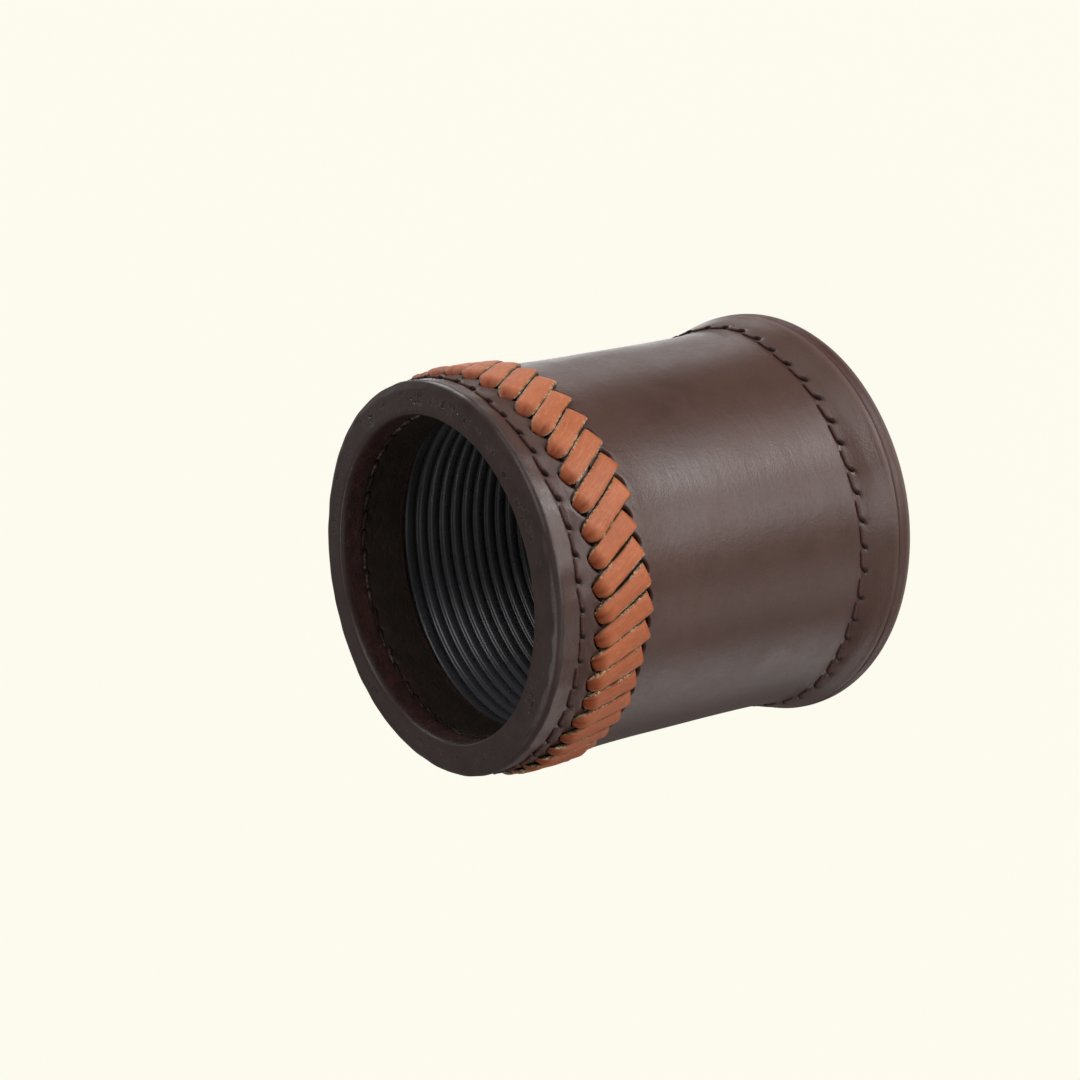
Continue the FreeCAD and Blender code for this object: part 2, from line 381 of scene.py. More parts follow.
class Nodes:
    """A material and short ways to add nodes to it."""

    def __init__(self, name):
        self.made = bpy.data.materials.new(name)
        self.made.use_nodes = True
        self.nodes = self.made.node_tree.nodes
        self.links = self.made.node_tree.links
        self.shader = self.nodes["Principled BSDF"]
        self.place = self.nodes.new("ShaderNodeTexCoord").outputs["Object"]

    def stretched(self, scale):
        mapping = self.nodes.new("ShaderNodeMapping")
        mapping.inputs["Scale"].default_value = scale
        self.links.new(self.place, mapping.inputs["Vector"])
        return mapping.outputs["Vector"]

    def noise(self, scale, detail=3.0, rough=0.5, vector=None, distort=0.0):
        node = self.nodes.new("ShaderNodeTexNoise")
        node.inputs["Scale"].default_value = scale
        node.inputs["Detail"].default_value = detail
        node.inputs["Roughness"].default_value = rough
        node.inputs["Distortion"].default_value = distort
        self.links.new(vector or self.place, node.inputs["Vector"])
        return node.outputs["Fac"]

    def cells(self, scale, feature="F1"):
        node = self.nodes.new("ShaderNodeTexVoronoi")
        node.feature = feature
        node.inputs["Scale"].default_value = scale
        self.links.new(self.place, node.inputs["Vector"])
        return node.outputs["Distance"]

    def mask(self, key):
        node = self.nodes.new("ShaderNodeAttribute")
        node.attribute_name = key
        return node.outputs["Fac"]

    def along(self, keys, scales):
        """Vector of masks, each times a scale."""
        node = self.nodes.new("ShaderNodeCombineXYZ")
        for socket, key, scale in zip(node.inputs, keys, scales):
            self.links.new(self.math("MULTIPLY", self.mask(key), scale), socket)
        return node.outputs["Vector"]

    def span(self, value, low, high, to_low=0.0, to_high=1.0):
        """The value, mapped from low..high to to_low..to_high and clamped."""
        node = self.nodes.new("ShaderNodeMapRange")
        for key, number in (("From Min", low), ("From Max", high), ("To Min", to_low), ("To Max", to_high)):
            node.inputs[key].default_value = number
        self.links.new(value, node.inputs["Value"])
        return node.outputs["Result"]

    def math(self, operation, a, b):
        node = self.nodes.new("ShaderNodeMath")
        node.operation = operation
        for socket, value in zip(node.inputs, (a, b)):
            if isinstance(value, (int, float)):
                socket.default_value = value
            else:
                self.links.new(value, socket)
        return node.outputs["Value"]

    def mix(self, factor, a, b):
        """Colour a where the factor is 0, and b where it is 1."""
        node = self.nodes.new("ShaderNodeMix")
        node.data_type = "RGBA"
        self.links.new(factor, node.inputs["Factor"])
        colors = [s for s in node.inputs if s.type == "RGBA"]
        for socket, value in zip(colors, (a, b)):
            if isinstance(value, tuple):
                socket.default_value = (*value, 1.0)
            else:
                self.links.new(value, socket)
        return [s for s in node.outputs if s.type == "RGBA"][0]

    def bump(self, height, depth_mm, below=None):
        node = self.nodes.new("ShaderNodeBump")
        node.inputs["Distance"].default_value = depth_mm * MM
        self.links.new(height, node.inputs["Height"])
        if below is not None:
            self.links.new(below, node.inputs["Normal"])
        return node.outputs["Normal"]

    def finish(self, color, rough, normal, gloss=0.5):
        """The material, with its colour, roughness, normal and strength of reflection set."""
        self.links.new(color, self.shader.inputs["Base Color"])
        self.links.new(rough, self.shader.inputs["Roughness"])
        self.links.new(normal, self.shader.inputs["Normal"])
        self.shader.inputs["Specular IOR Level"].default_value = gloss
        return self.made


def brown_leather():
    """Smooth dyed cowhide: mottled dark brown, fine grain, faint creases, satin finish."""
    n = Nodes("brown_leather")
    cloud = n.noise(28, 4, 0.55)
    mottle = n.noise(150, 5, 0.6)
    fleck = n.noise(900, 3, 0.6)
    base = n.mix(n.span(cloud, 0.32, 0.68), (0.068, 0.0305, 0.022), (0.092, 0.042, 0.031))
    base = n.mix(n.span(mottle, 0.3, 0.72, 0.0, 0.40), base, (0.112, 0.050, 0.038))
    base = n.mix(n.span(fleck, 0.62, 0.8, 0.0, 0.4), base, (0.050, 0.025, 0.020))
    creases = n.noise(55, 6, 0.62, n.stretched((1.0, 1.0, 3.2)), 0.9)
    base = n.mix(n.span(creases, 0.56, 0.75, 0.0, 0.30), base, (0.060, 0.030, 0.024))
    inside = n.mix(n.span(mottle, 0.35, 0.68), (0.028, 0.019, 0.013), (0.044, 0.029, 0.021))
    red = n.mix(n.span(n.noise(330, 5, 0.7), 0.38, 0.66), (0.044, 0.018, 0.014), (0.095, 0.037, 0.030))
    inside = n.mix(n.mask("red"), inside, red)
    lip = n.mix(n.span(mottle, 0.3, 0.72), (0.046, 0.027, 0.0235), (0.066, 0.040, 0.0355))
    base = n.mix(n.mask("lip"), base, lip)
    base = n.mix(n.mask("inner"), base, inside)
    pits = n.math("MULTIPLY", n.span(n.noise(520, 2, 0.6), 0.565, 0.63), n.mask("pores"))
    pits = n.math("MULTIPLY", pits, n.span(n.noise(120, 2, 0.5), 0.42, 0.54))
    rims = n.math("MULTIPLY", n.span(n.noise(520, 2, 0.6), 0.51, 0.56), n.mask("pores"))
    rims = n.math("MULTIPLY", n.math("SUBTRACT", rims, pits), n.span(n.noise(120, 2, 0.5), 0.44, 0.56))
    base = n.mix(n.math("MULTIPLY", rims, 0.22), base, (0.20, 0.14, 0.11))
    base = n.mix(pits, base, (0.018, 0.010, 0.008))
    # Pale raw leather on cut edges and hidden faces; along the sleeve's bottom edge it is partly a painted
    # highlight.
    base = n.mix(n.mask("raw_and_highlight"), base, (0.24, 0.125, 0.100))
    # Painted shade in the stitch holes, the lace's slits and the upright seam.
    base = n.mix(n.mask("cut_shade"), base, (0.010, 0.006, 0.005))
    grain = n.cells(2100, "SMOOTH_F1")
    rough = n.math("ADD", n.span(mottle, 0.3, 0.7, 0.32, 0.40), n.span(fleck, 0.3, 0.7, -0.03, 0.03))
    rough = n.math("ADD", rough, n.math("MULTIPLY", n.math("MAXIMUM", n.mask("raw_and_highlight"), n.mask("inner")), 0.22))
    normal = n.bump(creases, 0.10)
    drawn = n.math("MULTIPLY", n.noise(800, 3, 0.6, n.stretched((1.0, 1.0, 0.3)), 0.5), n.mask("drawn"))
    normal = n.bump(drawn, 0.16, normal)
    normal = n.bump(n.noise(420, 4, 0.6), 0.045, normal)
    normal = n.bump(grain, 0.022, normal)
    normal = n.bump(n.math("MULTIPLY", pits, -1.0), 0.25, normal)
    rough_skin = n.math("MULTIPLY", n.noise(380, 5, 0.7), n.mask("inner"))
    normal = n.bump(rough_skin, 0.5, normal)
    return n.finish(base, rough, normal)


def tan_lace():
    """Orange-tan lacing leather: darker where it is pinched and with painted shade at its ends and in its
    creases, dark cut edges that are partly painted shade between the straps, and pale fibres along them.
    """
    n = Nodes("tan_lace")
    cloud = n.noise(120, 4, 0.6)
    fine = n.noise(700, 4, 0.65)
    base = n.mix(n.span(cloud, 0.3, 0.7), (0.47, 0.115, 0.034), (0.62, 0.170, 0.058))
    base = n.mix(n.span(fine, 0.45, 0.8, 0.0, 0.5), base, (0.72, 0.250, 0.105))
    base = n.mix(n.span(n.cells(1600), 0.0, 0.22, 0.35, 0.0), base, (0.27, 0.055, 0.014))
    fibres = n.noise(1.0, 4, 0.65, n.along(("run", "over", "turn"), (0.30, 2.4, 9.7)))
    base = n.mix(n.span(fibres, 0.52, 0.78, 0.0, 0.50), base, (0.84, 0.36, 0.19))
    base = n.mix(n.span(fibres, 0.24, 0.44, 0.45, 0.0), base, (0.30, 0.060, 0.016))
    # Painted shade: darker straps on one side of the cup. Painted sheen: paler straps on the other.
    base = n.mix(n.mask("tone"), base, (0.42, 0.084, 0.018))
    base = n.mix(n.mask("faded"), base, (0.68, 0.26, 0.13))
    # Darker where pinched, partly painted shade at the strap ends and in the creases.
    base = n.mix(n.mask("pinch"), base, (0.25, 0.042, 0.007))
    fuzz = n.span(n.noise(1700, 3, 0.7), 0.46, 0.58)
    fuzz = n.math("MULTIPLY", fuzz, n.span(n.noise(190, 2, 0.5), 0.40, 0.56))
    # Cut edges: dark, partly painted shade between the straps, with pale fibre flecks.
    edge = n.mix(fuzz, (0.075, 0.050, 0.022), (0.82, 0.68, 0.42))
    base = n.mix(n.mask("edge"), base, edge)
    rough = n.span(fine, 0.3, 0.7, 0.44, 0.60)
    normal = n.bump(n.noise(260, 5, 0.65), 0.10)
    normal = n.bump(fibres, 0.10, normal)
    normal = n.bump(n.cells(1300, "SMOOTH_F1"), 0.035, normal)
    return n.finish(base, rough, normal, gloss=0.45)


def rubber():
    """Ribbed black rubber, satin, with a trace of bloom and dust."""
    n = Nodes("black_rubber")
    cloud = n.noise(60, 4, 0.6)
    dust = n.noise(1400, 2, 0.7)
    base = n.mix(n.span(cloud, 0.3, 0.7), (0.055, 0.055, 0.062), (0.084, 0.084, 0.094))
    base = n.mix(n.span(dust, 0.66, 0.8, 0.0, 0.35), base, (0.14, 0.138, 0.135))
    rough = n.span(n.noise(300, 3, 0.6), 0.3, 0.7, 0.24, 0.36)
    normal = n.bump(n.noise(600, 4, 0.6), 0.018)
    return n.finish(base, rough, normal, gloss=0.7)


def thread_material():
    """Waxed red-brown thread, with painted shade where it goes into its holes and patchy painted glints on
    the stitches inside the lip.
    """
    n = Nodes("dark_thread")
    base = n.mix(n.span(n.noise(1800, 2, 0.6), 0.35, 0.7), (0.075, 0.034, 0.030), (0.130, 0.064, 0.056))
    patchy = n.span(n.noise(900, 3, 0.7), 0.42, 0.60)
    patchy = n.math("MULTIPLY", patchy, n.span(n.noise(110, 2), 0.42, 0.60))
    inside_glints = n.mix(patchy, (0.024, 0.014, 0.011), (0.21, 0.165, 0.135))
    # Patchy pale specks on the stitches inside the lip: painted glints.
    base = n.mix(n.mask("inside_glints"), base, inside_glints)
    # Painted shade on the thread where it goes into its holes.
    base = n.mix(n.mask("deep"), base, (0.014, 0.006, 0.005))
    normal = n.bump(n.noise(3500, 2, 0.7), 0.04)
    rough = n.span(n.noise(900, 2, 0.5), 0.3, 0.7, 0.6, 0.8)
    return n.finish(base, rough, normal, gloss=0.25)


def sole_leather():
    """Thick veg-tanned sole: stained brown underneath, reddish and burnished round the edge."""
    n = Nodes("sole_leather")
    cloud = n.noise(40, 4, 0.6)
    base = n.mix(n.span(cloud, 0.3, 0.7), (0.080, 0.041, 0.030), (0.115, 0.058, 0.044))
    scuff = n.noise(90, 6, 0.7, n.stretched((1.0, 4.0, 1.0)), 0.6)
    base = n.mix(n.span(scuff, 0.58, 0.8, 0.0, 0.5), base, (0.20, 0.12, 0.09))
    # Painted reflection: the lower edge is lightened.
    base = n.mix(n.mask("painted_reflection"), base, (0.175, 0.130, 0.112))
    base = n.mix(n.mask("burnish"), base, (0.078, 0.027, 0.024))
    layers = n.noise(900, 3, 0.6, n.stretched((0.25, 0.25, 1.6)))
    base = n.mix(n.math("MULTIPLY", n.mask("burnish"), n.span(layers, 0.5, 0.7, 0.0, 0.5)), base,
                 (0.06, 0.018, 0.014))
    rough = n.span(n.noise(200, 3, 0.6), 0.3, 0.7, 0.36, 0.55)
    normal = n.bump(n.noise(500, 4, 0.6), 0.06)
    return n.finish(base, rough, normal)


def board():
    """Grey-brown fibre board, hardly ever seen."""
    n = Nodes("fibre_board")
    base = n.mix(n.span(n.noise(700, 5, 0.7), 0.3, 0.7), (0.20, 0.15, 0.10), (0.36, 0.29, 0.21))
    normal = n.bump(n.noise(900, 4, 0.7), 0.08)
    return n.finish(base, n.span(n.noise(300, 3), 0.3, 0.7, 0.75, 0.9), normal)


def packing():
    """Raw split leather inside the lip and the base."""
    n = Nodes("leather_packing")
    base = n.mix(n.span(n.noise(500, 5, 0.7), 0.3, 0.7), (0.26, 0.15, 0.09), (0.42, 0.28, 0.19))
    normal = n.bump(n.noise(1100, 4, 0.75), 0.12)
    return n.finish(base, n.span(n.noise(300, 3), 0.3, 0.7, 0.78, 0.92), normal)


LEATHER, LACE, RUBBER, THREAD = brown_leather(), tan_lace(), rubber(), thread_material()
SOLE, BOARD, PACKING = sole_leather(), board(), packing()


# ---------------------------------------------------------------- pieces

def sleeve():
    """Leather round the body, pressed in at the stitches and slits, with its butted upright seam."""
    degrees = columns(sleeve_columns)[None, :]
    hem_z = sole_top + 0.06
    z = rows((sole_top, hem_z, 1), (hem_z, 10.8, 13), (10.8, 15.6, 26), (15.6, 76.4, 34), (76.4, 82.6, 32),
             (82.6, butt_z, 3))
    outer = np.stack([curve_through(SLEEVE, z), z], axis=-1)
    inner_z = np.array([butt_z - 0.15, 75.0, waist_z, 40.0, bead_top_z])
    inner = np.stack([tube_outer(inner_z), inner_z], axis=-1)
    bottom = [(46.6, 9.2), (47.9, sole_top), (48.9, sole_top)]
    outline = np.concatenate([outer, inner, bottom])
    count, side = len(outline), len(outer)
    height_z = z[:, None]
    stitched_radius, seam_radius, seam_depth = 47.2, 46, 0.55
    dent, hole = stitch_dent(degrees, height_z, stitched_radius, BASE_LINE, BASE_HOOK, BASE_SEED)
    slit, slit_shade = slit_depth(degrees, height_z, False)
    seam = np.abs(np.radians(around(degrees, seam_degrees)) * seam_radius)
    push = 0.10 * uneven(degrees, height_z, 1) + 0.05 * uneven(degrees, height_z, 2, (4, 7, 9), 14.0)
    push = push * np.clip((height_z - sole_top) / 4, 0, 1) - dent - slit
    push = push - seam_depth * bump(seam, seam_half_width)
    ridge_z, ridge_height, raw_and_highlight_z = 5.2, 0.06, 4.9
    push += ridge_height * bump(height_z - ridge_z, 0.45)
    whole = np.zeros((count, degrees.shape[1]))
    whole[:side] = push
    cut_shade, raw_and_highlight = np.zeros_like(whole), np.zeros_like(whole)
    # Painted shade goes in the stitch holes, the slits and the seam.
    cut_shade[:side] = np.clip(np.maximum(np.maximum(hole * 0.9, slit_shade), bump(seam, 0.3)), 0, 1)
    # Pale line along the sleeve's bottom edge: partly raw edge colour, partly a painted highlight, stronger
    # on the lit side.
    raw_and_highlight[:side] = 0.40 * bump(height_z - raw_and_highlight_z, 0.75) * (0.25 + 0.75 * bump(around(degrees, -40.0), 50.0))
    raw_and_highlight[side:] = 1.0
    drawn = np.zeros_like(whole)
    drawn[:side] = bump(height_z - 77.0, 4.0) * (0.3 + 0.7 * bump(around(degrees, -38.0), 18.0))
    points = turned(outline, degrees[0], whole)
    make_object("body_sleeve_leather", points.reshape(-1, 3), grid_faces(count, sleeve_columns, True),
                LEATHER, "body_sleeve", "brown_leather", {"cut_shade": cut_shade, "raw_and_highlight": raw_and_highlight, "drawn": drawn})


def binding():
    """Leather folded over the lip: skirt, outer lip, face, inner lip and collar, then its hidden back."""
    count = binding_columns
    degrees = columns(count)[None, :]
    skirt_z = rows((butt_z, 89.8, 5), (89.8, 94.4, 22), (94.4, 98.6, 21), (98.6, 100.4, 4))
    skirt = np.stack([curve_through(SKIRT, skirt_z), skirt_z], axis=-1)
    crease = (43.45, height - 0.57)
    outer_lip = arc((45.0, 100.4), (44.75, 101.75), crease, 9)[1:]
    face = np.linspace((43.30, height - 0.52), (38.4, height - 0.07), 12)
    inner_lip = arc((38.2, height - 0.09), (37.45, 102.70), (mouth_radius, 101.6), 9)
    collar_z = rows((101.0, 99.0, 4), (99.0, 95.4, 16), (95.4, collar_end_z, 10))
    collar = np.stack([np.full_like(collar_z, mouth_radius), collar_z], axis=-1)
    back_radius, fold_z = mouth_radius + leather, height - leather - 0.2
    behind = [(back_radius, collar_end_z), (back_radius, 95.0), (back_radius, fold_z),
              (sleeve_inner_radius, fold_z), (sleeve_inner_radius, butt_z + 0.1)]
    stretches = [skirt, outer_lip, face, inner_lip, collar, np.array(behind)]
    outline = np.concatenate(stretches)
    part = np.repeat(np.arange(len(stretches)), [len(s) for s in stretches])
    on_skirt, on_outer_lip, on_face, on_inner_lip, on_collar, on_back = (part == k for k in range(6))
    z = outline[:, 1:]
    whole = np.zeros((len(outline), count))
    cut_shade, raw_and_highlight = np.zeros_like(whole), np.zeros_like(whole)

    skirt_radius, seam_depth = 45.0, 0.5
    # The dark mask on the binding is painted shade in the stitch holes, the slits and the seam.
    dent, hole = stitch_dent(degrees, z[on_skirt], skirt_radius, MOUTH_LINE, MOUTH_HOOK, MOUTH_SEED)
    slit, slit_shade = slit_depth(degrees, z[on_skirt], True)
    whole[on_skirt] = -dent - slit
    cut_shade[on_skirt] = np.maximum(hole * 0.9, slit_shade)
    dent, hole = stitch_dent(degrees, z[on_collar], mouth_radius, INNER_LINE, MOUTH_HOOK, INNER_SEED)
    whole[on_collar] = -1.2 * dent
    cut_shade[on_collar] = hole * 0.8
    raw_and_highlight[on_collar] = 0.8 * bump(z[on_collar] - collar_end_z, 0.35)

    seam = np.abs(np.radians(around(degrees, seam_degrees)) * skirt_radius)
    seamed = np.clip((101.0 - z) / 3.0, 0, 1) * on_skirt[:, None]
    wave_height, face_calm, skirt_pucker, lip_pucker = 0.09, 0.35, 0.07, 0.04
    swell = np.where(on_face, face_calm, 1.0)[:, None]
    swell[on_inner_lip, 0] = np.linspace(face_calm, 1.0, len(inner_lip))
    whole += swell * np.where(on_back, 0.0, wave_height)[:, None] * uneven(degrees, z, 6, (2, 3, 5, 7), 9.0)
    puckers = np.where(on_skirt, skirt_pucker, np.where(on_outer_lip, lip_pucker, 0.0))[:, None]
    whole += puckers * uneven(degrees, z, 8, (24, 31, 43), 3.0) * np.clip((z - 93.5) / 1.5, 0, 1)
    whole -= seam_depth * seamed * bump(seam, seam_half_width)
    cut_shade = np.maximum(cut_shade, seamed * bump(seam, 0.3))
    raw_and_highlight[on_back] = 1.0
    pores, inner, red = np.zeros_like(whole), np.zeros_like(whole), np.zeros_like(whole)
    lip = np.repeat((on_outer_lip | on_face | on_inner_lip)[:, None] * 1.0, count, axis=1)
    pores_radius = 40.6
    pores[on_face] = bump(outline[on_face, 0] - pores_radius, 1.3)[:, None]
    inner += np.clip(on_collar * 1.0 + on_inner_lip * (102.6 - outline[:, 1]) / 1.2, 0, 1)[:, None]
    red += inner * np.clip((z - 94.6 + 0.8 * uneven(degrees, z, 31, (3, 7, 11), 4.0)) / 3.0, 0, 1)
    points = turned(outline, degrees[0], whole)
    make_object("mouth_binding_leather", points.reshape(-1, 3), grid_faces(len(outline), count, True),
                LEATHER, "mouth_binding", "brown_leather",
                {"cut_shade": cut_shade, "raw_and_highlight": raw_and_highlight, "pores": pores, "inner": inner, "red": red, "lip": lip})


strap_crown = 1.28         # how high a strap's middle stands over the leather
strap_thinnest = 0.12
strap_across = 11          # points across a strap's top


def strap_outline(i, chance):
    """Distances along strap i from its middle, half its width at each, and how far each is into its tip."""
    half = LENGTHS[i] / 2
    waviness, waist = 0.025, 0.04
    x = np.concatenate([[-half - 0.55, -half - 0.38, -half - 0.12], np.linspace(-half + 0.25, half - 3.2, 13),
                        np.linspace(half - 2.6, half + 0.5, 12)])
    width = WIDTHS[i] / 2 * (1 + waviness * np.sin(x * 0.5 + chance.uniform(0, 6)))
    width = width * (1 - waist * bump(x, 4.0))
    tip = np.clip((x - (half - 3.0)) / 3.5, 0, 1)
    width = width * np.sqrt(np.clip(1 - 0.72 * tip ** 3.4, 0.05, 1))
    width = width * np.where(x < -half, 0.94, 1.0)
    return x, width, tip


def strap_solid(i, chance):
    """Points of strap i as (along, across, height) rows, first its top and then its underside, and masks."""
    half = LENGTHS[i] / 2
    raggedness, ripple_height, crease_depth = 0.045, 0.05, 0.32
    base_dive, mouth_dive = 1.9, 1.75
    x, width, tip = strap_outline(i, chance)
    ragged = chance.normal(0.0, raggedness, (2, len(x)))
    at_base = np.clip((-half + 0.9 - x) / 1.45, 0, 1)
    at_mouth = np.clip((x - half + 2.4) / 2.9, 0, 1)
    crown = strap_crown - base_dive * at_base ** 2.2 - mouth_dive * at_mouth ** 2.4
    edge = np.linspace(-1, 1, strap_across)
    across = np.sign(edge) * (1 - (1 - np.abs(edge)) ** 1.35)
    dome = 1 - 0.27 * np.abs(across) ** 3.6
    creases = np.zeros((len(x), len(edge)))
    for middle, width_share in ((chance.uniform(-0.35, 0.35), 0.16), (chance.uniform(-0.6, 0.6), 0.10)):
        creases += bump(across[None, :] - middle, width_share) * (tip[:, None] ** 0.8)
    ripple_pace, ripple_start = chance.uniform(0.7, 1.3), chance.uniform(0, 6)
    ripple = ripple_height * np.sin(x[:, None] * ripple_pace + across[None, :] * 1.5 + ripple_start)
    skew = chance.uniform(-0.22, 0.22)
    top = np.stack(np.broadcast_arrays(
        x[:, None] + skew * across[None, :] * np.where(x < 0, 1, 0)[:, None],
        across[None, :] * (width[:, None] + np.where(across < 0, ragged[0][:, None], ragged[1][:, None])),
        crown[:, None] * np.where(crown[:, None] > 0, dome[None, :], 1) + ripple - crease_depth * creases),
        axis=-1)
    thickness = np.clip(crown, 0.0, 1.0)[:, None] * 0.92 + strap_thinnest
    bottom = top[:, ::-1].copy()
    bottom[:, :, 2] = np.minimum(crown[:, None] - thickness - 0.02, bottom[:, :, 2] - 0.1)
    bottom[:, :, 1] *= 0.97

    last = strap_across - 1
    # Cut faces take the dark edge colour, partly painted shade between the straps.
    cut_face = np.zeros((len(x), 2 * strap_across))
    cut_face[:, strap_across:] = 1.0
    cut_face[:, [0, last]] = chance.uniform(0.55, 1.0)
    cut_face[:, [1, last - 1]] = chance.uniform(0.0, 0.4)
    cut_face[:2] = 0.6
    # Darker towards the tips, at the base end and in creases: partly pinched leather, partly painted shade.
    pinch = np.zeros_like(cut_face)
    pinch += 0.85 * (tip[:, None] ** 1.5) + 0.3 * bump(x[:, None] + half, 0.6)
    pinch[:, :strap_across] += 0.5 * creases
    masks = {"edge": cut_face.ravel(), "pinch": np.clip(pinch, 0, 1).ravel()}
    return np.concatenate([top, bottom], axis=1), masks


def strap(i):
    """Points, faces and masks of one turn of the lace on the outside."""
    chance = np.random.default_rng(500 + i)
    ring, masks = strap_solid(i, chance)
    flat = ring.reshape(-1, 3)
    slope = SLOPES[i]
    over = -flat[:, 0] * math.sin(slope) + flat[:, 1] * math.cos(slope)
    z = MIDDLE_Z[i] + flat[:, 0] * math.cos(slope) + flat[:, 1] * math.sin(slope)
    turn = np.radians(PLACES[i]) + over / butt_radius
    radius = butt_radius + flat[:, 2]
    points = np.stack([radius * np.cos(turn), radius * np.sin(turn), z], axis=-1)

    # The straps are darker and more saturated on one side of the cup, a painted shade with a little random
    # tone, and paler on the other, a painted sheen.
    tone = 0.25 - 0.25 * math.cos(math.radians(PLACES[i] + 40.0)) + chance.uniform(-0.1, 0.2)
    faded = 0.2 * max(math.cos(math.radians(PLACES[i] + 35.0)), 0.0) ** 4
    same_all_over = {"turn": i / strap_count, "tone": max(tone, 0.0), "faded": faded}
    masks |= {"run": flat[:, 0], "over": flat[:, 1]}
    masks |= {key: np.full(len(flat), value) for key, value in same_all_over.items()}
    return points, capped_faces(*ring.shape[:2]), masks


def lace():
    parts = [strap(i) for i in range(strap_count)]
    points, faces = joined([part[:2] for part in parts])
    masks = {key: np.concatenate([masks[key] for *_, masks in parts]) for key in parts[0][2]}
    make_object("lace_straps", points, faces, LACE, "lace", "tan_lace", masks)


def ring_of_stitches(outline, line, hook, seed, outwards):
    """Tubes of thread along a ring line, and a mask for each of how deep it lies in its hole, which puts
    painted shade there.

    The line lies on a surface of radius outline(z), which faces outwards (1) or inwards (-1).
    """
    tubes, deep = [], []
    for i in range(stitch_count):
        degrees, z = stitch_run(i, line, hook, seed)
        t = np.linspace(0, 1, len(z))
        ends = np.clip(1 - t / 0.10, 0, 1) ** 1.5 + 0.7 * np.clip((t - 0.90) / 0.10, 0, 1) ** 1.5
        radius = outline(z) + outwards * (stitch_proud - stitch_dive * ends)
        turn = np.radians(degrees)
        path = np.stack([radius * np.cos(turn), radius * np.sin(turn), z], axis=-1)
        thick = thread_radius * (0.85 + 0.25 * t + 0.40 * bump(t - 0.93, 0.11))
        tubes.append(thread_tube(path, thick))
        deep.append(np.repeat(np.clip((t - 0.74) / 0.16, 0, 1), thread_sides))
    return tubes, deep


def sleeve_face(z):
    return curve_through(SLEEVE, z)


def skirt_face(z):
    return curve_through(SKIRT, z)


def collar_face(z):
    return np.full_like(z, mouth_radius)


def base_stitches():
    tubes, deep = ring_of_stitches(sleeve_face, BASE_LINE, BASE_HOOK, BASE_SEED, 1)
    make_object("base_thread_stitches", *joined(tubes), THREAD, "base_thread", "dark_thread",
                {"deep": np.concatenate(deep)})


def mouth_stitches():
    """The thread through the lip shows outside, and inside, where it gets painted glints."""
    outside, outside_deep = ring_of_stitches(skirt_face, MOUTH_LINE, MOUTH_HOOK, MOUTH_SEED, 1)
    inside, inside_deep = ring_of_stitches(collar_face, INNER_LINE, MOUTH_HOOK, INNER_SEED, -1)
    points, faces = joined(outside + inside)
    # The stitches inside the lip get the painted glints.
    inside_glints = np.hypot(points[:, 0], points[:, 1]) < (mouth_radius + butt_radius) / 2
    make_object("mouth_thread_stitches", points, faces, THREAD, "mouth_thread", "dark_thread",
                {"inside_glints": inside_glints, "deep": np.concatenate(outside_deep + inside_deep)})


def seam_stitches():
    """Slanting stitches that pull the sleeve's two edges together."""
    low, high = seam_stitches_z
    pitch = (high - low) / seam_stitch_count
    tubes = []
    for i in range(seam_stitch_count):
        t = np.linspace(-1, 1, 13)
        z = low + (i + 0.5) * pitch + t * pitch / 4
        over = seam_stitch_reach * t
        radius = curve_through(SLEEVE, z) + 0.25 - 0.95 * np.abs(t) ** 6
        turn = np.radians(seam_degrees) - over / radius
        path = np.stack([radius * np.cos(turn), radius * np.sin(turn), z], axis=-1)
        tubes.append(thread_tube(path, thread_radius))
    make_object("seam_thread_stitches", *joined(tubes), THREAD, "seam_thread", "dark_thread")


def liner():
    """Rubber lining: a plain flat band under the collar, then round ribs down to the floor."""
    degrees = columns(liner_columns)
    rib_total = int((first_rib_z - floor_z) / rib_pitch)
    band_low, band_high = band_z
    profile = [(0.0, collar_end_z), (0.0, band_high + 0.35), (0.45, band_high + 0.12),
               (rib_height, band_high - 0.25), (rib_height, (band_low + band_high) / 2),
               (rib_height, band_low + 0.25), (0.45, band_low - 0.12), (0.0, band_low - 0.35)]
    for i in range(rib_total):
        middle = first_rib_z - i * rib_pitch
        for angle in np.linspace(90, -90, 9):
            lift = math.cos(math.radians(angle)) ** 0.75
            profile.append((rib_height * lift, middle + rib_half_width * math.sin(math.radians(angle))))
    profile.append((0.0, floor_z))
    profile = np.array(profile)
    sunk = 0.8
    valley = tube_outer(profile[:, 1]) - tube_wall - liner_wall + sunk
    front = np.stack([valley - profile[:, 0], profile[:, 1]], axis=-1)
    back_z = np.array([floor_z, 40.0, waist_z, collar_end_z])
    back = np.stack([tube_outer(back_z) - tube_wall, back_z], axis=-1)
    outline = np.concatenate([front, back])
    wave_height = 0.05
    push = wave_height * uneven(degrees[None, :], outline[:, 1:], 9, (3, 5, 8), 6.0)
    push[len(front):] = 0
    points = turned(outline, degrees, push)
    make_object("ribbed_liner_rubber", points.reshape(-1, 3), grid_faces(len(outline), liner_columns, True),
                RUBBER, "ribbed_liner", "black_rubber")


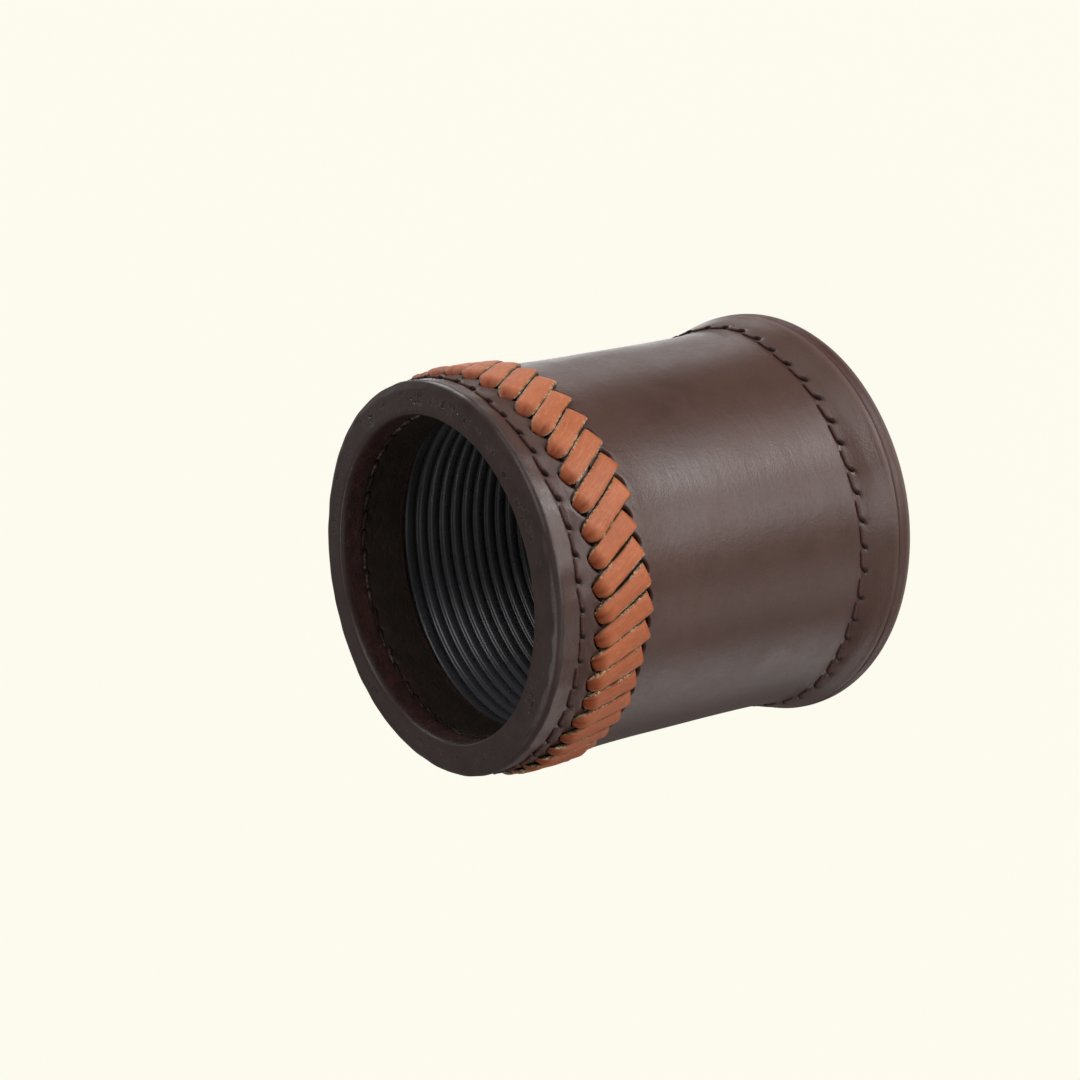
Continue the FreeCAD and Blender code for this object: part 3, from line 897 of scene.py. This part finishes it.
def floor_disc():
    """Rubber disc in the bottom of the cup, with the same ribs as the wall, as rings."""
    clearance, ring_height, ring_valley_z = 0.05, 0.4, floor_z - 0.45
    edge = float(tube_outer(floor_z)) - tube_wall - clearance
    outline = [(1.0, pad_low), (edge, pad_low), (edge, ring_valley_z)]
    for r in np.arange(edge - 0.3, 1.2, -0.55):
        outline.append((r, ring_valley_z + ring_height * abs(math.cos(math.pi * r / rib_pitch)) ** 0.7))
    outline.append((0.6, floor_z - 0.05))
    push = np.zeros((len(outline), floor_columns))
    points = turned(outline, columns(floor_columns), push)
    make_object("floor_pad_rubber", points.reshape(-1, 3), capped_faces(len(outline), floor_columns),
                RUBBER, "floor_pad", "black_rubber")


def sole():
    """Sole with a rounded edge: lightened low on the edge as a painted reflection, and burnished near the
    sleeve.
    """
    under = [(r, 0.0) for r in np.linspace(1.0, 47.6, 24)]
    lower = arc((47.9, 0.02), (49.75, 0.35), (50.3, 1.7), 9)
    side = np.array([(50.38, 2.2), (50.4, 2.6), (50.38, 3.0)])
    upper = arc((50.36, 3.35), (50.27, 3.92), (50.05, sole_top - 0.04), 7)
    top = [(49.97, sole_top), (48.0, sole_top), (30.0, sole_top), (1.0, sole_top)]
    outline = np.concatenate([under, lower, side, upper, top])
    z = outline[:, 1:]
    degrees = columns(sole_columns)[None, :]
    wave_height, highest_wave, flat_radius = 0.05, 1.8, 48.5
    push = wave_height * (uneven(degrees, z, 21, (3, 5, 9), 6.0) - highest_wave)
    push = push * (outline[:, :1] > flat_radius)
    edge = outline[:, :1] > 48.6
    burnish = bump(z - 3.15, 1.05) * edge * (0.45 + 0.55 * bump(around(degrees, -55.0), 45.0))
    painted_reflection = np.clip((2.4 - z) / 1.4, 0, 1) * edge
    painted_reflection = np.broadcast_to(painted_reflection, burnish.shape)
    points = turned(outline, degrees[0], push)
    make_object("base_sole_leather", points.reshape(-1, 3), capped_faces(len(outline), sole_columns),
                SOLE, "base_sole", "sole_leather", {"burnish": burnish, "painted_reflection": painted_reflection})


sleeve()
binding()
lace()
base_stitches()
mouth_stitches()
seam_stitches()
liner()
floor_disc()
sole()

HIDDEN = {"lip_packing": PACKING, "base_bead": PACKING, "wall_tube": BOARD, "base_board": BOARD}
for node, material in HIDDEN.items():
    mesh = frame["nodes"][node].data
    mesh.materials.clear()
    mesh.materials.append(material)


# ---------------------------------------------------------------- floor, light and camera

CREAM = (0.974, 0.957, 0.851, 1.0)
SOFT_WHITE = (1.0, 0.98, 0.95, 1.0)
SOFT_STRENGTH = 0.145
CENTRE = Vector((0.0, 0.0, 0.055))
PANEL_DISTANCE = 0.9

# Soft panels round the cup: azimuth and elevation in degrees, width in metres, watts
PANELS = (
    (-66, -30, 0.12, 1.40), (-54, -36, 0.30, 0.75), (-90, -36, 0.30, 1.15), (-140, -36, 0.30, 0.40),
    (180, -36, 0.30, 0.35), (160, -36, 0.30, 0.20), (62, -36, 0.30, 0.50), (26, -36, 0.30, 0.35),
    (-20, -14, 0.35, 0.40), (-50, -14, 0.35, 0.75), (-100, -14, 0.35, 1.30), (20, 0, 0.40, 2.60),
    (-135, 8, 0.45, 0.60), (60, 20, 0.40, 0.20), (-45, 45, 0.50, 1.60), (-135, 45, 0.50, 0.25),
    (150, 68, 0.40, 1.10),
)


def direction(azimuth, elevation):
    a, e = math.radians(azimuth), math.radians(elevation)
    return Vector((math.cos(a) * math.cos(e), math.sin(a) * math.cos(e), math.sin(e)))


def soft_light(name, azimuth, elevation, width, watts):
    data = bpy.data.lights.new(name, "AREA")
    data.shape = "SQUARE"
    data.size = width
    data.energy = watts
    lamp = bpy.data.objects.new(name, data)
    away = direction(azimuth, elevation)
    lamp.location = CENTRE + away * PANEL_DISTANCE
    lamp.rotation_euler = away.to_track_quat("Z", "Y").to_euler()
    bpy.context.scene.collection.objects.link(lamp)


def floor():
    """Cream floor that glows evenly and lets the low lights through. It lies just clear of the sole."""
    mesh = bpy.data.meshes.new("studio_floor")
    reach, z = 3.0, -0.1 * MM
    mesh.from_pydata([(-reach, -reach, z), (reach, -reach, z), (reach, reach, z), (-reach, reach, z)], [],
                     [(0, 1, 2, 3)])
    plane = bpy.data.objects.new("studio_floor", mesh)
    bpy.context.scene.collection.objects.link(plane)
    made = bpy.data.materials.new("floor_cream")
    made.use_nodes = True
    shader = made.node_tree.nodes["Principled BSDF"]
    shader.inputs["Base Color"].default_value = (0.02, 0.02, 0.02, 1.0)
    shader.inputs["Roughness"].default_value = 1.0
    shader.inputs["Specular IOR Level"].default_value = 0.0
    shader.inputs["Emission Color"].default_value = CREAM
    shader.inputs["Emission Strength"].default_value = 1.0
    mesh.materials.append(made)
    plane.visible_glossy = False
    plane.visible_diffuse = False
    plane.visible_shadow = False


def world():
    """Cream all round as it is seen, and a weaker, whiter light from it."""
    made = bpy.data.worlds.new("studio")
    bpy.context.scene.world = made
    made.use_nodes = True
    nodes, links = made.node_tree.nodes, made.node_tree.links
    nodes.clear()
    out = nodes.new("ShaderNodeOutputWorld")
    seen = nodes.new("ShaderNodeBackground")
    seen.inputs["Color"].default_value = CREAM
    lighting = nodes.new("ShaderNodeBackground")
    lighting.inputs["Color"].default_value = SOFT_WHITE
    lighting.inputs["Strength"].default_value = SOFT_STRENGTH
    path = nodes.new("ShaderNodeLightPath")
    mixer = nodes.new("ShaderNodeMixShader")
    links.new(path.outputs["Is Camera Ray"], mixer.inputs["Fac"])
    links.new(lighting.outputs[0], mixer.inputs[1])
    links.new(seen.outputs[0], mixer.inputs[2])
    links.new(mixer.outputs[0], out.inputs["Surface"])


def camera():
    """Camera that looks into the mouth from the side, rolled so that the cup seems to lie down."""
    azimuth, elevation, roll = -93.1, 36.51, math.radians(101.496)
    aim, distance = Vector((4.6, 9.06, 64.06)) * MM, 478.07
    data = bpy.data.cameras.new("studio_camera")
    data.sensor_width = 36.0
    data.lens = 66.67
    data.clip_start, data.clip_end = 0.01, 20.0
    eye = bpy.data.objects.new("studio_camera", data)
    back = direction(azimuth, elevation)
    right = Vector((0, 0, 1)).cross(back).normalized()
    up = back.cross(right)
    new_up = up * math.cos(roll) + right * math.sin(roll)
    new_right = new_up.cross(back)
    turn = Matrix((new_right, new_up, back)).transposed().to_4x4()
    turn.translation = aim + back * distance * MM
    eye.matrix_world = turn
    bpy.context.scene.collection.objects.link(eye)
    bpy.context.scene.camera = eye


floor()
world()
camera()
for number, panel in enumerate(PANELS):
    soft_light(f"soft_panel_{number}", *panel)
bpy.context.scene.view_settings.view_transform = "Standard"
